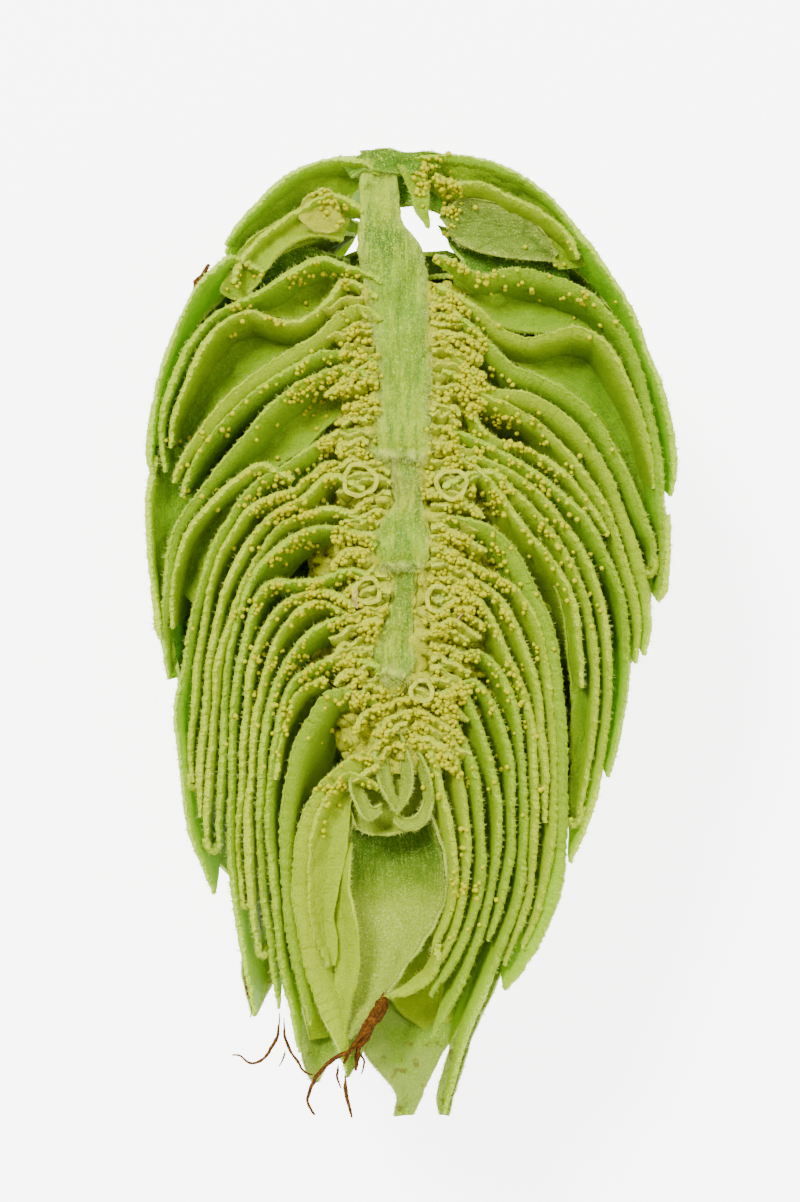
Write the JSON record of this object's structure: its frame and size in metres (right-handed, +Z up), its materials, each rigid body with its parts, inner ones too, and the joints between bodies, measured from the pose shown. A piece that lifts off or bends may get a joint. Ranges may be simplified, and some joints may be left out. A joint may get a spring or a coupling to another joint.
{
  "type": "halved hop cone",
  "caption": "Hop cone cut in half lengthwise, lying on its rounded back: nested leafy bracts around a central stalk, with open seed cups and dried styles at the tip.",
  "frame": {"origin": "middle of the cone's length and width, on the surface that its rounded back rests on", "axes": "+Y along the cone towards its stem end, +X to the right across the cut face, +Z up, out of the cut face"},
  "size_m": [0.0196, 0.036, 0.0096],
  "materials": {
    "strig": "satin",
    "bract": "satin",
    "bracteole": "satin",
    "perianth": "satin",
    "dried_style": "matt"
  },
  "bodies": {
    "root": {"back_bract_left": "bract", "back_bract_middle_low": "bract", "back_bract_middle_top": "bract", "back_bract_right": "bract", "back_bract_tip": "bract", "bract_left_01": "bract", "bract_left_02": "bract", "bract_left_03": "bract", "bract_left_04": "bract", "bract_left_05": "bract", "bract_left_06": "bract", "bract_left_07": "bract", "bract_left_08": "bract", "bract_left_09": "bract", "bract_left_10": "bract", "bract_left_11": "bract", "bract_right_01": "bract", "bract_right_02": "bract", "bract_right_03": "bract", "bract_right_04": "bract", "bract_right_05": "bract", "bract_right_06": "bract", "bract_right_07": "bract", "bract_right_08": "bract", "bract_right_09": "bract", "bracteole_left_01": "bracteole", "bracteole_left_02": "bracteole", "bracteole_left_03": "bracteole", "bracteole_left_04": "bracteole", "bracteole_left_05": "bracteole", "bracteole_left_06": "bracteole", "bracteole_left_07": "bracteole", "bracteole_left_08": "bracteole", "bracteole_left_09": "bracteole", "bracteole_left_10": "bracteole", "bracteole_left_11": "bracteole", "bracteole_right_01": "bracteole", "bracteole_right_02": "bracteole", "bracteole_right_03": "bracteole", "bracteole_right_04": "bracteole", "bracteole_right_05": "bracteole", "bracteole_right_06": "bracteole", "bracteole_right_07": "bracteole", "bracteole_right_08": "bracteole", "bracteole_right_09": "bracteole", "bracteole_right_10": "bracteole", "bracteole_right_11": "bracteole", "bracteole_right_12": "bracteole", "centre_bract": "bracteole", "dried_style_left": "dried_style", "dried_style_short": "dried_style", "dried_style_stout": "dried_style", "perianth_left_lower": "perianth", "perianth_left_upper": "perianth", "perianth_right_lower": "perianth", "perianth_right_upper": "perianth", "perianth_tip": "perianth", "strig": "strig", "tip_bract_left": "bract", "tip_bract_right": "bract"}
  },
  "joints": []
}
